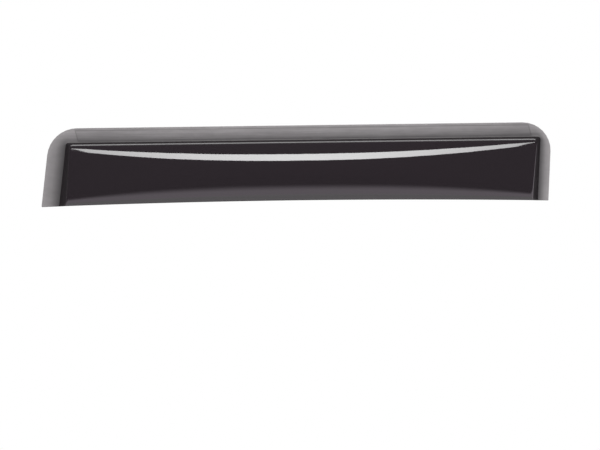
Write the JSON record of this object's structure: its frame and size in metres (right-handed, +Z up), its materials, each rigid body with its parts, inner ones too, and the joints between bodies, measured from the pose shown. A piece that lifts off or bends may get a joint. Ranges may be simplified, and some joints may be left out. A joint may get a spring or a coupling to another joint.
{
  "type": "window rain deflector",
  "caption": "Tinted acrylic rain deflector for a car's side window: a crowned panel, open below, raised on sloped walls from a flat flange that tape bonds to the door frame.",
  "frame": {"origin": "middle of the top tape strip, on its bonding face", "axes": "+X along the window from its front end to its rear end, +Y into the door frame, square to the bonding faces, +Z up as fitted"},
  "size_m": [0.6213, 0.025, 0.0957],
  "materials": {
    "acrylic": "dark smoke tint, glossy panel and satin flange",
    "foam_tape": "closed-cell foam with a tacky adhesive face"
  },
  "bodies": {
    "root": {"shield": "acrylic", "top_tape": "foam_tape", "front_tape": "foam_tape", "rear_tape": "foam_tape"}
  },
  "joints": []
}
